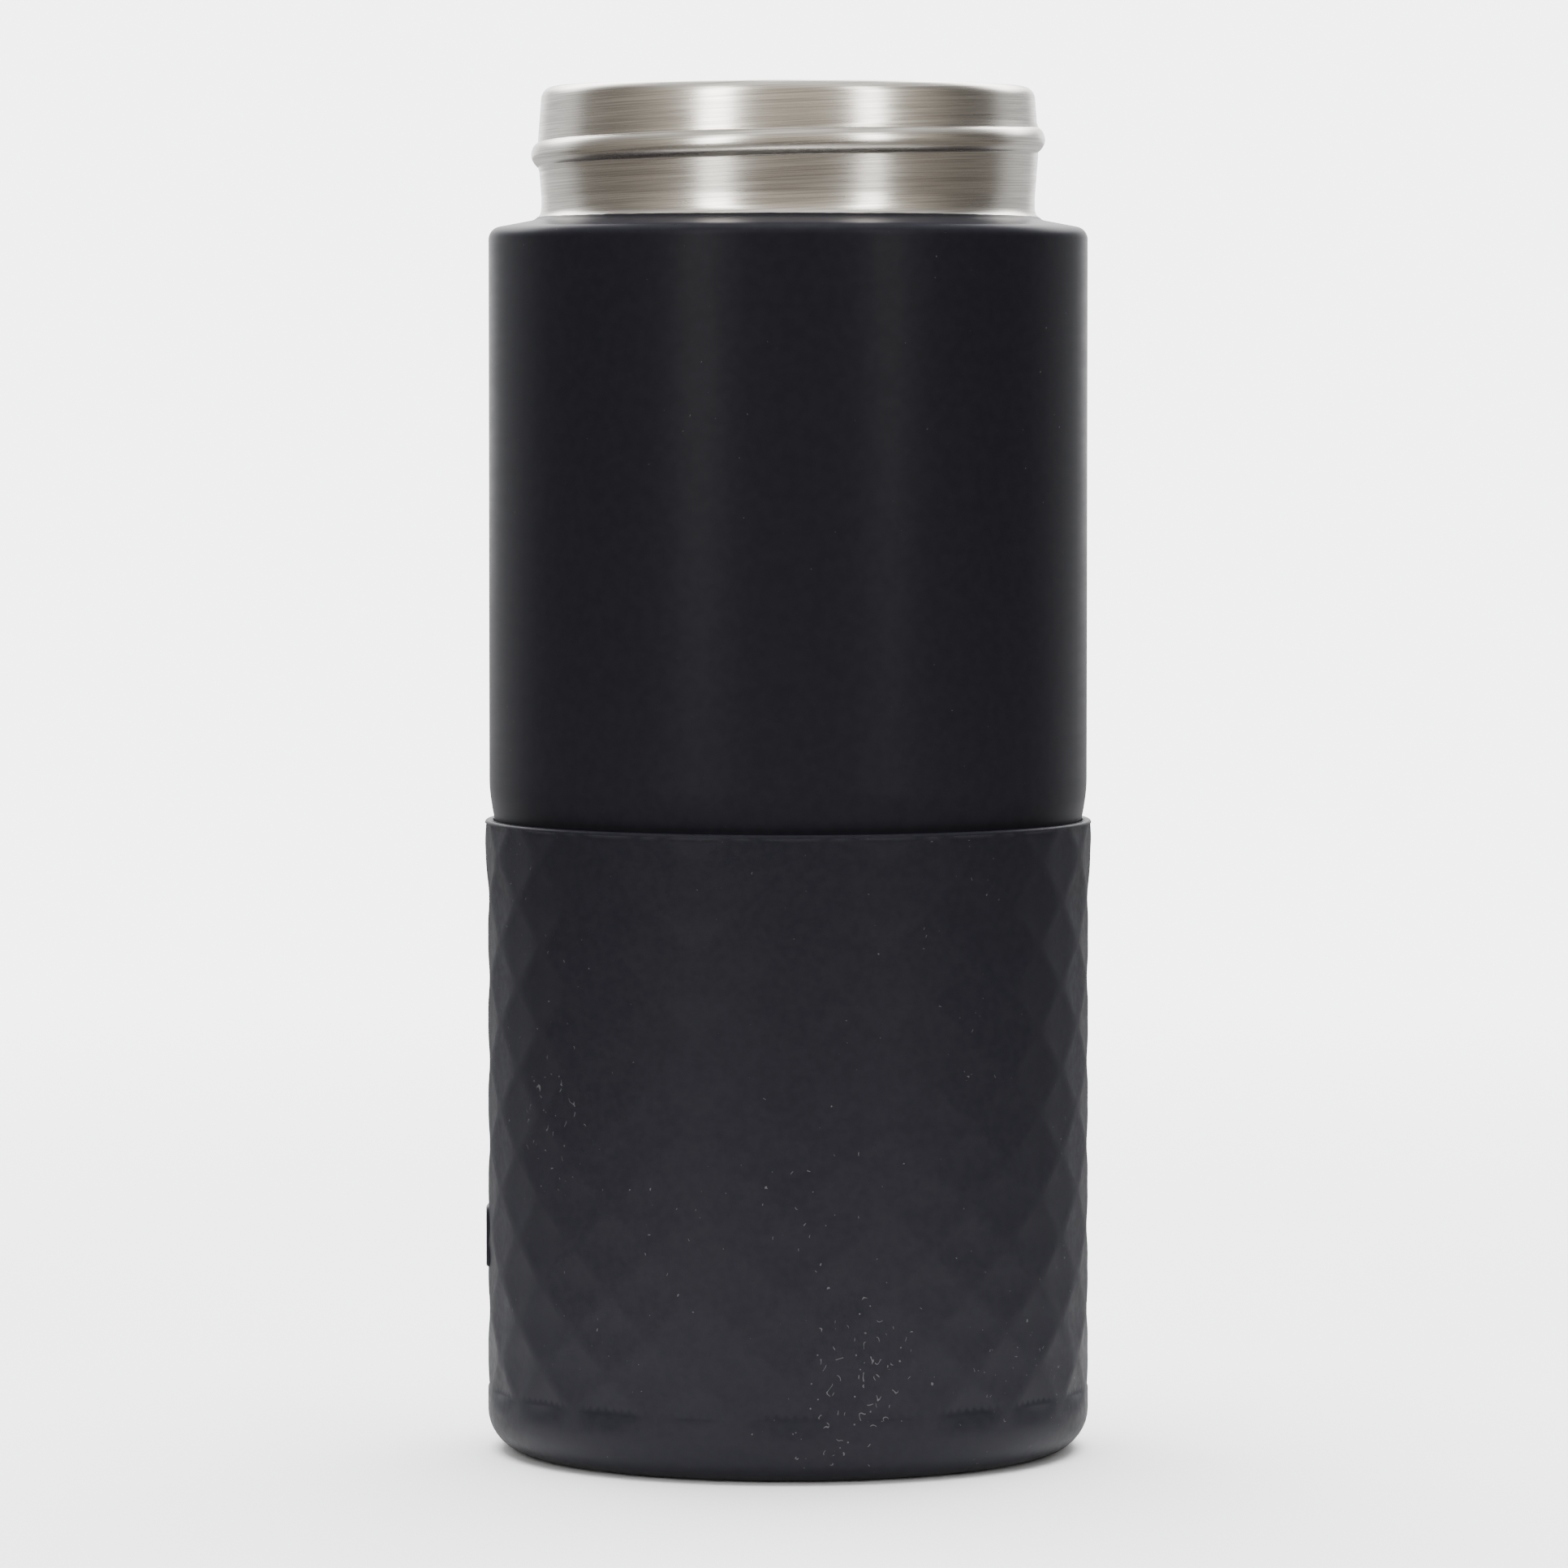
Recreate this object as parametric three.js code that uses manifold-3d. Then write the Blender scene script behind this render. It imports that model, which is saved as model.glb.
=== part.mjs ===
// Vacuum-insulated travel tumbler: a double-wall steel vessel that stands in a silicone boot.
// Millimetres, +Z up, origin at the centre of the underside. Angles run from the front (-Y) towards +X.
import * as THREE from "three";
import { mergeVertices } from "three/addons/utils/BufferGeometryUtils.js";
import Module from "manifold-3d";

const wasm = await Module();
wasm.setup();

const FULL_TURN = 2 * Math.PI;
const degrees = THREE.MathUtils.degToRad;

// ---- Overall sizes ----
const overallHeight = 166.6;
const bodyRadius = 36.5;
const neckRadius = 30.2;
const neckHeight = 16.1; // from the shoulder's inner edge to the rim
const bootHeight = 77.3;

// ---- Outer shell: one formed sheet from the spun-in base flange to the lip ----
const shellWall = 0.5;
const shoulderRise = 1.2; // the shoulder climbs this much from the body to the neck
const shoulderCorner = 1.5;
const neckFillet = 1.6;
const neckWaist = 0.2; // the neck is this much slimmer under the thread
const waistTop = 5.4; // heights of the waist above the shoulder
const waistBottom = 2.7;
const lipRound = 1.3;
const lipLand = 0.7; // flat ring on top of the lip, where a lid's seal seats
const baseCorner = 3;
const flangeWidth = 1.5; // flat part of the flange past the base corner
const recessDepth = 1.05; // the body steps in by this much where the boot sits
const recessBlend = 9; // height of the smooth step into that recess
const recessBlendMiddle = 0.5; // its middle, above the boot's top edge

// ---- Thread bead rolled into the neck ----
const threadLead = 4;
const threadHeight = 1.1;
const threadWidth = 2.9;
const threadWrap = degrees(400);
const threadRunOut = degrees(35);
const threadDrop = 7.2; // from the rim to the bead's middle at the front

// ---- Liner ----
const linerWall = 0.5;
const vacuumGap = 3.1; // between shell and liner along the body
const neckVacuumGap = 1.1;
const linerFloorHeight = 9; // underside of the liner's floor
const linerFloorCorner = 5;
const linerDishHeight = 9; // height of the floor dish up to its butt weld
const linerShoulderDrop = 9; // liner's shoulder starts this far under the shell's
const linerShoulderLength = 7.5;
const linerShoulderRound = 4;

// ---- Base, evacuation port and heat shields ----
const baseWall = 0.5;
const baseSkirt = 6;
const portHole = 1.2;
const portFloor = 3.4;
const portMouth = 5;
const portDepth = 2;
const sealRadius = 3;
const sealHeight = 1.2;
const coverThickness = 0.45;
const foilThickness = 0.15;
const foilStandOff = 0.2;
const foilMargin = 5; // the wrap stops this far from the weld and from the liner's shoulder
const shieldRadius = 26;
const shieldDrop = 0.4;

// ---- Getter under the liner's floor ----
const getterOffset = 13;
const getterRadius = 4.6;
const getterThickness = 1.4;
const holderWall = 0.3;
const holderLip = 0.5; // the holder's rim reaches this far below the pellet

// ---- Silicone boot ----
const bootWall = 1.2;
const bootFloor = 1.6;
const bootCorner = 5;
const bootBand = 7.2; // height of the smooth band round the foot
const bootLipFlare = 0.35;
const bootLipRound = 0.4;
const bootLipBand = 0.9;
const footRecess = 0.6;
const footRecessRadius = 24;
const reliefDepth = 0.2;
const diamondsAround = 20;
const diamondHeight = 10.17;
const diamondPhase = degrees(45.5);
const padLength = 16;
const padHeight = 7.4;
const padRound = 1.6;
const padProud = 0.28;
const padAngle = degrees(-97);
const padLevel = 26.1;

// ---- Clearances ----
const weldGap = 0.05; // hairline left at a welded or bonded seam
const nestGap = 0.1; // between pressed pieces that sit in each other
const bootGap = 0.12; // between the boot and the vessel
const seatGap = 0.1; // under the vessel, on the boot's floor

// ---- Smoothness ----
const vesselSides = 48;
const bootSides = 2 * diamondsAround;
const smallSides = 20;
const arcStep = degrees(30);
const blendSteps = 6;
const threadRows = 17;
const padArcSteps = 4;
const domeSteps = 2;

// ---- Mesh bookkeeping ----
const mergeDistance = 1e-3;
const leastBend = 1e-6; // sine of the angle under which a corner counts as straight
const quadIndices = 6;

// ---- Levels and radii worked out from the sizes above ----
const vesselBase = bootFloor + seatGap;
const recessRadius = bodyRadius - recessDepth;
const shoulderTop = overallHeight - neckHeight;
const shoulderBottom = shoulderTop - shoulderRise;
const waistRadius = neckRadius - neckWaist;
const linerRadius = bodyRadius - shellWall - vacuumGap;
const linerNeckRadius = neckRadius - shellWall - neckVacuumGap;
const linerWeld = linerFloorHeight + linerDishHeight;
const linerShoulder = shoulderTop - linerShoulderDrop;
const baseUnderside = vesselBase + shellWall + nestGap;
const portTop = baseUnderside + portDepth;
const flangeRadius = recessRadius - baseCorner - flangeWidth;
const bootRadius = recessRadius + bootGap + bootWall;
const blendBottom = bootHeight + recessBlendMiddle - recessBlend / 2;

// ---- Solids ----

// A geometry's positions as one closed solid, without the lathe's collapsed triangles on the axis.
function solid(geometry) {
  const bare = geometry.clone();
  bare.deleteAttribute("normal");
  bare.deleteAttribute("uv");
  const merged = mergeVertices(bare, mergeDistance);
  const index = merged.index.array;
  const kept = [];
  for (let i = 0; i < index.length; i += 3) {
    const [a, b, c] = [index[i], index[i + 1], index[i + 2]];
    if (a !== b && b !== c && c !== a) kept.push(a, b, c);
  }
  const vertProperties = merged.getAttribute("position").array;
  return new wasm.Manifold(new wasm.Mesh({ numProp: 3, vertProperties, triVerts: new Uint32Array(kept) }));
}

// A solid as a geometry for a mesh.
function geometryOf(made) {
  const mesh = made.getMesh();
  const geometry = new THREE.BufferGeometry();
  geometry.setAttribute("position", new THREE.BufferAttribute(mesh.vertProperties, 3));
  geometry.setIndex(new THREE.BufferAttribute(mesh.triVerts, 1));
  geometry.computeVertexNormals();
  return geometry;
}

// A profile of radius and height points turned round the Z axis, starting at an angle.
function turned(profile, sides = vesselSides, start = 0) {
  return new THREE.LatheGeometry(profile, sides, start).rotateX(Math.PI / 2);
}

function direction(from, to) {
  return new THREE.Vector2(to[0] - from[0], to[1] - from[1]).normalize();
}

// The points of a line of corners [radius, height, rounding]. A rounded corner becomes an arc.
function rounded(corners) {
  return corners.flatMap((corner, i) => {
    const [r, z, round = 0] = corner;
    const point = new THREE.Vector2(r, z);
    if (!round) return [point];
    const arriving = direction(corners[i - 1], corner);
    const leaving = direction(corner, corners[i + 1]);
    const turn = Math.atan2(arriving.cross(leaving), arriving.dot(leaving));
    const start = point.clone().addScaledVector(arriving, -round * Math.tan(Math.abs(turn) / 2));
    const side = new THREE.Vector2(-arriving.y, arriving.x).multiplyScalar(Math.sign(turn) * round);
    const centre = start.clone().add(side);
    const steps = Math.max(1, Math.ceil(Math.abs(turn) / arcStep));
    return Array.from({ length: steps + 1 }, (_, k) => start.clone().rotateAround(centre, (turn * k) / steps));
  });
}

// The same corners moved to the left of their travel, with each rounding kept concentric.
function offset(corners, distance) {
  return corners.map((corner, i) => {
    const arriving = i > 0 ? direction(corners[i - 1], corner) : direction(corner, corners[1]);
    const leaving = i < corners.length - 1 ? direction(corner, corners[i + 1]) : arriving;
    const share = distance / (1 + arriving.dot(leaving));
    const [r, z, round = 0] = corner;
    const side = Math.sign(arriving.cross(leaving));
    return [
      r - (arriving.y + leaving.y) * share,
      z + (arriving.x + leaving.x) * share,
      round ? Math.max(round - side * distance, 0) : 0,
    ];
  });
}

// A pressed sheet: its outer line, and back along the same line moved in by the wall. Corners that
// only divide a straight stretch are left out on the way back.
function sheet(corners, wall) {
  const bends = corners.filter((corner, i) => {
    if (i === 0 || i === corners.length - 1) return true;
    const bend = direction(corners[i - 1], corner).cross(direction(corner, corners[i + 1]));
    return Math.abs(bend) > leastBend;
  });
  return closed([...rounded(corners), ...rounded(offset(bends, wall)).reverse()]);
}

function closed(points) {
  return [...points, points[0].clone()];
}

// The smooth step from the boot's recess to the full body, as corners up to a height.
function recessStep(top, gap = 0) {
  return Array.from({ length: blendSteps + 1 }, (_, k) => {
    const height = THREE.MathUtils.lerp(blendBottom, top, k / blendSteps);
    const share = (1 - Math.cos((Math.PI * (height - blendBottom)) / recessBlend)) / 2;
    return [recessRadius + recessDepth * share + gap, height];
  });
}

// ---- Outer shell ----

// The straight stretch of the neck that carries the thread, from bottom to top.
function threadZone() {
  return [shoulderTop + waistTop, overallHeight - lipRound];
}

// The corners of the shell's outer face, from the flange under the base up to the lip.
function shellLine() {
  const [low, high] = threadZone();
  const rows = Array.from({ length: threadRows - 1 }, (_, k) => {
    return [neckRadius, THREE.MathUtils.lerp(low, high, (k + 1) / threadRows)];
  });
  return [
    [flangeRadius, vesselBase],
    [recessRadius, vesselBase, baseCorner],
    ...recessStep(blendBottom + recessBlend),
    [bodyRadius, shoulderBottom, shoulderCorner],
    [waistRadius, shoulderTop, neckFillet],
    [waistRadius, shoulderTop + waistBottom],
    [neckRadius, low],
    ...rows,
    [neckRadius, overallHeight, lipRound],
    [neckRadius - lipRound - lipLand, overallHeight],
  ];
}

// How far the bead stands out of the neck at a place. Its section is a parabola that shrinks to
// nothing at both ends of the wrap, and where the ends pass each other both of them count.
function beadRise(angle, height) {
  const middle = overallHeight - threadDrop;
  return [-1, 0, 1].reduce((most, lap) => {
    const turn = angle + lap * FULL_TURN;
    const scale = THREE.MathUtils.smoothstep(threadWrap / 2 - Math.abs(turn), 0, threadRunOut);
    const across = (height - middle - (threadLead * turn) / FULL_TURN) / (threadWidth / 2);
    return Math.max(most, threadHeight * scale * (1 - across * across));
  }, 0);
}

// Rolls the thread into the rows of the neck's outside face.
function rollThread(geometry) {
  const at = geometry.getAttribute("position");
  const [low, high] = threadZone();
  for (let i = 0; i < at.count; i += 1) {
    const [x, y, z] = [at.getX(i), at.getY(i), at.getZ(i)];
    const radius = Math.hypot(x, y);
    if (z > low && z < high && radius > neckRadius - shellWall / 2) {
      const grow = 1 + beadRise(Math.atan2(x, -y), z) / radius;
      at.setXYZ(i, x * grow, y * grow, z);
    }
  }
  return geometry;
}

function outerShell() {
  return rollThread(turned(sheet(shellLine(), shellWall)));
}

// ---- Liner ----

function innerLiner() {
  const line = [
    [linerRadius, linerWeld + weldGap],
    [linerRadius, linerShoulder, linerShoulderRound],
    [linerNeckRadius, linerShoulder + linerShoulderLength, linerShoulderRound],
    [linerNeckRadius, overallHeight - shellWall - weldGap],
  ];
  return turned(sheet(line, linerWall));
}

function linerBottom() {
  const line = [
    [0, linerFloorHeight],
    [linerRadius, linerFloorHeight, linerFloorCorner],
    [linerRadius, linerWeld],
  ];
  return turned([...rounded(line), ...rounded(offset(line, linerWall)).reverse()]);
}

// ---- Base ----

function outerBase() {
  const skirt = recessRadius - shellWall - nestGap;
  const line = [
    [portHole, portTop],
    [portFloor, portTop, baseWall],
    [portMouth, baseUnderside, baseWall],
    [skirt, baseUnderside, baseCorner - shellWall - nestGap],
    [skirt, baseUnderside + baseSkirt],
  ];
  return turned(sheet(line, baseWall));
}

function baseCover() {
  const radius = flangeRadius - nestGap;
  const top = vesselBase + coverThickness;
  return turned([[0, vesselBase], [radius, vesselBase], [radius, top], [0, top]].map(pair));
}

// A drop of solder glass that fills the port's hole and domes under it.
function vacuumSealBead() {
  const top = portTop - weldGap;
  const stem = portHole - nestGap;
  const dome = new THREE.Path().absellipse(0, top - sealHeight / 2, sealRadius, sealHeight / 2, -Math.PI / 2, 0);
  const rim = [[sealRadius, top], [stem, top], [stem, top + baseWall], [0, top + baseWall]].map(pair);
  return turned([...dome.getPoints(domeSteps), ...rim], smallSides);
}

function pair([r, z]) {
  return new THREE.Vector2(r, z);
}

// ---- Heat shields ----

function foilWrap() {
  const inside = linerRadius + foilStandOff;
  const outside = inside + foilThickness;
  const [bottom, top] = [linerWeld + foilMargin, linerShoulder - foilMargin];
  return turned(closed([[outside, bottom], [outside, top], [inside, top], [inside, bottom]].map(pair)));
}

// A flat disc with a hole that lets the getter's holder through.
function foilDisc() {
  const disc = new THREE.Shape().absarc(0, 0, shieldRadius, 0, FULL_TURN);
  disc.holes.push(new THREE.Path().absarc(getterOffset, 0, holderRadius() + nestGap, 0, FULL_TURN, true));
  const geometry = new THREE.ExtrudeGeometry(disc, {
    depth: foilThickness,
    bevelEnabled: false,
    curveSegments: vesselSides / 2,
  });
  return geometry.translate(0, 0, linerFloorHeight - shieldDrop);
}

// ---- Getter ----

function holderRadius() {
  return getterRadius + nestGap + holderWall;
}

// A small cup, open downwards, fixed under the liner's floor.
function getterHolder() {
  const top = linerFloorHeight - weldGap;
  const roof = top - holderWall;
  const rim = roof - nestGap - getterThickness - holderLip;
  const inside = holderRadius() - holderWall;
  const line = [[0, roof], [inside, roof], [inside, rim], [holderRadius(), rim], [holderRadius(), top], [0, top]];
  return turned(line.map(pair), smallSides).translate(getterOffset, 0, 0);
}

function getterPellet() {
  const top = linerFloorHeight - weldGap - holderWall - nestGap;
  const bottom = top - getterThickness;
  const line = [[0, bottom], [getterRadius, bottom], [getterRadius, top], [0, top]];
  return turned(line.map(pair), smallSides).translate(getterOffset, 0, 0);
}

// ---- Silicone boot ----

const rowHeight = diamondHeight / 2;
const reliefRows = Math.floor((bootHeight - bootLipBand - bootLipRound - bootBand) / rowHeight);
const bore = 1 / Math.cos(Math.PI / bootSides); // keeps the flats of a bore at its stated radius

function bootProfile() {
  const foot = [
    [0, footRecess],
    [footRecessRadius - footRecess, footRecess],
    [footRecessRadius, 0],
    [bootRadius, 0, bootCorner],
    [bootRadius, bootBand - reliefDepth],
  ];
  const rows = Array.from({ length: reliefRows + 1 }, (_, j) => [bootRadius, bootBand + j * rowHeight]);
  const flare = bootRadius + bootLipFlare;
  const inside = recessStep(bootHeight, bootGap).map(([r, z]) => [r * bore, z]);
  const lip = [
    [flare, bootHeight - bootLipBand],
    [flare, bootHeight, bootLipRound],
    inside.at(-1),
  ];
  const floorEdge = (recessRadius + bootGap) * bore;
  const hollow = [
    ...inside.slice(0, -1).reverse(),
    [floorEdge, bootFloor, baseCorner + seatGap],
    [0, bootFloor],
  ];
  const outside = rounded([...foot, ...rows, ...lip]);
  return { points: [...outside, ...rounded(hollow)], firstRow: rounded(foot).length };
}

// Every second crossing of the grid of columns and rows is a diamond's middle and is dished in.
// The other crossings are joined by the ridges, so half of the quads take their other diagonal.
function diamondRelief(points, firstRow) {
  const boot = new THREE.LatheGeometry(points, bootSides, diamondPhase);
  const at = boot.getAttribute("position");
  const index = boot.index.array;
  for (let column = 0; column <= bootSides; column += 1) {
    for (let row = 0; row <= reliefRows; row += 1) {
      const here = column * points.length + firstRow + row;
      if ((column + row) % 2) {
        const grow = 1 - reliefDepth / Math.hypot(at.getX(here), at.getZ(here));
        at.setXYZ(here, at.getX(here) * grow, at.getY(here), at.getZ(here) * grow);
      } else if (column < bootSides && row < reliefRows) {
        const quad = (column * (points.length - 1) + firstRow + row) * quadIndices;
        const [a, b, c, d] = [here, here + points.length, here + points.length + 1, here + 1];
        index.set([a, b, c, a, c, d], quad);
      }
    }
  }
  return boot.rotateX(Math.PI / 2);
}

// The blank name pad: a rounded rectangle that follows the boot's face and stands a little proud.
function namePad() {
  const [halfLength, halfHeight] = [padLength / 2, padHeight / 2];
  const face = new THREE.Shape();
  const corners = [[1, -1, -90], [1, 1, 0], [-1, 1, 90], [-1, -1, 180]];
  corners.forEach(([x, y, start]) => {
    const centre = [x * (halfLength - padRound), y * (halfHeight - padRound)];
    face.absarc(...centre, padRound, degrees(start), degrees(start + 90));
  });
  const block = new THREE.ExtrudeGeometry(face, {
    depth: bootRadius * 2,
    bevelEnabled: false,
    curveSegments: padArcSteps,
  });
  block.rotateX(Math.PI / 2).rotateZ(padAngle).translate(0, 0, padLevel);
  const [inner, outer] = [bootRadius - bootWall / 2, bootRadius + padProud];
  const [low, high] = [padLevel - padHeight, padLevel + padHeight];
  const ring = turned(closed([[outer, low], [outer, high], [inner, high], [inner, low]].map(pair)), 2 * bootSides);
  return solid(block).intersect(solid(ring));
}

function siliconeBoot() {
  const { points, firstRow } = bootProfile();
  return geometryOf(solid(diamondRelief(points, firstRow)).add(namePad()));
}

// ---- The assembly ----

const blackCoat = { color: 0x17171a, roughness: 0.5, metalness: 0.1 };
const brushedSteel = { color: 0xb9b7b3, roughness: 0.35, metalness: 1 };
const plainSteel = { color: 0xa5a5a3, roughness: 0.5, metalness: 1 };
const copperFoil = { color: 0xc98a62, roughness: 0.3, metalness: 1 };
const sinteredMetal = { color: 0x55504a, roughness: 0.85, metalness: 0.4 };
const solderGlass = { color: 0x5b5148, roughness: 0.2, metalness: 0 };
const silicone = { color: 0x222327, roughness: 0.8, metalness: 0 };

function piece(name, geometry, look) {
  const mesh = new THREE.Mesh(geometry, new THREE.MeshStandardMaterial(look));
  mesh.name = name;
  return mesh;
}

const vessel = new THREE.Group();
vessel.add(
  piece("outer_shell", outerShell(), blackCoat),
  piece("inner_liner", innerLiner(), brushedSteel),
  piece("liner_bottom", linerBottom(), brushedSteel),
  piece("outer_base", outerBase(), plainSteel),
  piece("base_cover", baseCover(), plainSteel),
  piece("heat_shield_foil", foilWrap(), copperFoil),
  piece("heat_shield_disc", foilDisc(), copperFoil),
  piece("getter_holder", getterHolder(), plainSteel),
  piece("getter_pellet", getterPellet(), sinteredMetal),
  piece("vacuum_seal_bead", vacuumSealBead(), solderGlass),
);

const tumbler = new THREE.Group();
tumbler.add(vessel, piece("silicone_boot", siliconeBoot(), silicone));

export default tumbler;
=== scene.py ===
"""Travel tumbler: a brushed steel vessel with a black coated body, standing in a silicone boot.

Outlines are worked out in millimetres and every finished mesh is scaled to metres.
Angles run from the front (-Y) towards +X.
"""

import math

import bmesh
import bpy
from mathutils import Matrix, Vector, noise

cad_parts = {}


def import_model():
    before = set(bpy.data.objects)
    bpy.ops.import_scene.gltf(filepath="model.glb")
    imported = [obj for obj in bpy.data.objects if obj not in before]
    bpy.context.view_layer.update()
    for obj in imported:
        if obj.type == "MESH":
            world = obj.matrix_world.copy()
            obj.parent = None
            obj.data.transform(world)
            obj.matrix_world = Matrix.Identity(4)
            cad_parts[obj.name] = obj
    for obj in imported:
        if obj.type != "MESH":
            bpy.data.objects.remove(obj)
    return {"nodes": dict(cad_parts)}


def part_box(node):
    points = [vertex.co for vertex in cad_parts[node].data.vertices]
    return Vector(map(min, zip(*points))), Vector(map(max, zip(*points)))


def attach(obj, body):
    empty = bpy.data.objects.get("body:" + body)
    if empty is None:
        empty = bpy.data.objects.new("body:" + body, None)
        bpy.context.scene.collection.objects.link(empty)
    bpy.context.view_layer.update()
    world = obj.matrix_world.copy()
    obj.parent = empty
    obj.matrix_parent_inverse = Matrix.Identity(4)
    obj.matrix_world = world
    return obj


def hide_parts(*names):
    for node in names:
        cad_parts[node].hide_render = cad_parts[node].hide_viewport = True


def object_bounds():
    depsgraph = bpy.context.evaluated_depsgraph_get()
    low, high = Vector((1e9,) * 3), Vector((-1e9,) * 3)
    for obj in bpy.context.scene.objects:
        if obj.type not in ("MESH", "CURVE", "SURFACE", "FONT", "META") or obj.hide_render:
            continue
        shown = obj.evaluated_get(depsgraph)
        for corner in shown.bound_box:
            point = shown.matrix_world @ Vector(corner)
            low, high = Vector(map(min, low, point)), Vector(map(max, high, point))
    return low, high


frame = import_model()
cad_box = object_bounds()

METRES = 0.001
FULL_TURN = 2 * math.pi


def millimetres(vector):
    return Vector(vector) / METRES


# The low and high corners of the boxes round the CAD pieces.
SHELL_LOW, SHELL_HIGH = (millimetres(v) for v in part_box("outer_shell"))
LINER_LOW, LINER_HIGH = (millimetres(v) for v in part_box("inner_liner"))
DISH_LOW, DISH_HIGH = (millimetres(v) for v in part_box("liner_bottom"))
BASE_LOW, BASE_HIGH = (millimetres(v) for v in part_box("outer_base"))
COVER_LOW, COVER_HIGH = (millimetres(v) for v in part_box("base_cover"))
BOOT_TOP = millimetres(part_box("silicone_boot")[1]).z

# ---- Outer shell ----
RIM = SHELL_HIGH.z
BODY_RADIUS = SHELL_HIGH.x
SHELL_WALL = 0.5
NECK_RADIUS = 30.2
NECK_HEIGHT = 16.1
SHOULDER_RISE = 1.2
SHOULDER_CORNER = 1.5
NECK_FILLET = 1.6
NECK_WAIST = 0.1
WAIST_BOTTOM = 2.7
NECK_SWELL = 0.3  # under the bead, where the neck is widest
SWELL_REACH = 1.0  # it stays that wide this far above and below the bead's middle
NECK_BEND = 4.0  # rounding where the swell starts and ends
LIP_DRAFT = 0.2  # the neck is this much slimmer at the lip
LIP_ROUND = 1.5
LIP_WIDTH = 2.0  # from the neck's outside to the inner edge of the lip
LIP_INNER_ROUND = 0.2
BASE_CORNER = 3.0
FLANGE_WIDTH = 1.5
RECESS_DEPTH = 1.05  # the body steps in by this much where the boot sits
RECESS_BLEND = 9.0
RECESS_BLEND_MIDDLE = 0.5  # above the boot's top edge
RECESS_STEPS = 24
SHOULDER_TOP = RIM - NECK_HEIGHT
WAIST_RADIUS = NECK_RADIUS - NECK_WAIST
LIP_RADIUS = NECK_RADIUS - LIP_DRAFT
RECESS_RADIUS = BODY_RADIUS - RECESS_DEPTH
BLEND_BOTTOM = BOOT_TOP + RECESS_BLEND_MIDDLE - RECESS_BLEND / 2

# ---- Thread bead ----
THREAD_LEAD = 4.0
THREAD_HEIGHT = 0.85
THREAD_WIDTH = 3.05  # between the feet of its flanks
THREAD_WRAP = math.radians(400)
THREAD_RUN_OUT = math.radians(35)
THREAD_DROP = 7.4  # from the rim to the bead's middle at the front
THREAD_ROW = 0.09  # height of a row of faces where the bead runs
THREAD_UPPER_FLANK = 0.6  # nearer 0 makes a flank steeper and its foot sharper
THREAD_LOWER_FLANK = 0.9

# ---- Coat ----
COAT_THICKNESS = 0.06
COAT_BEDDING = COAT_THICKNESS / 4  # it reaches this far into the steel
PAINT_LINE = 0.35  # above the foot of the neck's fillet
PAINT_RAGGED = 0.05
PAINT_EDGE = 4 * COAT_THICKNESS  # only this much of the coat, at its top, is uneven
PAINT_WOBBLE = 40
PAINT_FINE_WOBBLE = 160

# ---- Liner ----
LINER_WALL = 0.5
NECK_VACUUM_GAP = 1.1
LINER_NECK_OUTSIDE = NECK_RADIUS - SHELL_WALL - NECK_VACUUM_GAP
LINER_SHOULDER_DROP = 9.0
LINER_SHOULDER_LENGTH = 7.5
LINER_SHOULDER_ROUND = 4.0
LINER_FLOOR_CORNER = 5.0

# ---- Pressed base, the port it is pumped out through, and the port's cover ----
BASE_ROUND = BASE_CORNER - SHELL_WALL
PORT_HOLE = 1.2
PORT_FLOOR = 3.4
PORT_MOUTH = 5.0
PORT_DEPTH = 2.0
PORT_ROUND = 0.5
COVER_ROUND = 0.12

# ---- Silicone boot ----
BOOT_WALL = 1.2
BOOT_FLOOR = 1.6
BOOT_GAP = 0.12
BOOT_CORNER = 5.0
BOOT_BAND = 7.7  # top of the smooth band round the foot
BOOT_BAND_STEP = 0.12
BOOT_BAND_BOTTOM = BOOT_CORNER + 0.2
BOOT_LIP_FLARE = 0.33
BOOT_FLARE_BOTTOM = 66.0
BOOT_FLARE_TOP = 75.5
BOOT_LIP_ROUND = 0.35
BOOT_LIP_BAND = 0.1  # plain strip between the pattern and the lip's rounding
BOOT_BORE_ROUND = 0.25
BOOT_BORE_STEPS = 12
BOOT_FOOT_SWELL = 0.08
BOOT_FOOT_SWELL_TOP = 30.0
BOOT_RADIUS = RECESS_RADIUS + BOOT_GAP + BOOT_WALL
PATTERN_TOP = BOOT_TOP - BOOT_LIP_ROUND - BOOT_LIP_BAND
FOOT_RECESS = 0.6
FOOT_RECESS_RADIUS = 24.0
FOOT_RECESS_ROUND = 0.25
DIAMONDS_AROUND = 20
DIAMOND_HEIGHT = 10.17
DIAMOND_DEPTH = 0.24
DIAMOND_PHASE = math.radians(45.5)
DIAMOND_DATUM = 47.87  # a level where two ridges cross
DIAMOND_STEPS = 10
PAD_LENGTH = 16.0
PAD_HEIGHT = 7.4
PAD_ROUND = 1.6
PAD_ROUND_STEPS = 8
PAD_PROUD = 0.28
PAD_EDGE_ROUND = PAD_PROUD * 0.9
PAD_EDGE_STEPS = 5
PAD_BEDDING = BOOT_WALL / 2  # its foot reaches this far into the boot's wall
PAD_SLICES = 32
PAD_ANGLE = math.radians(-97)
PAD_LEVEL = 26.1

# ---- Fineness of the meshes ----
SIDES = 192
ARC_STEP = math.radians(9)
LEAST_ROUND = 0.01
MERGE_DISTANCE = 1e-4
TILE_MERGE = 0.003
CUT_MERGE = 0.002
RIM_TOLERANCE = 0.01
AXIS_RADIUS = 0.01  # a rim that closes shrinks to this before it is merged

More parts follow.
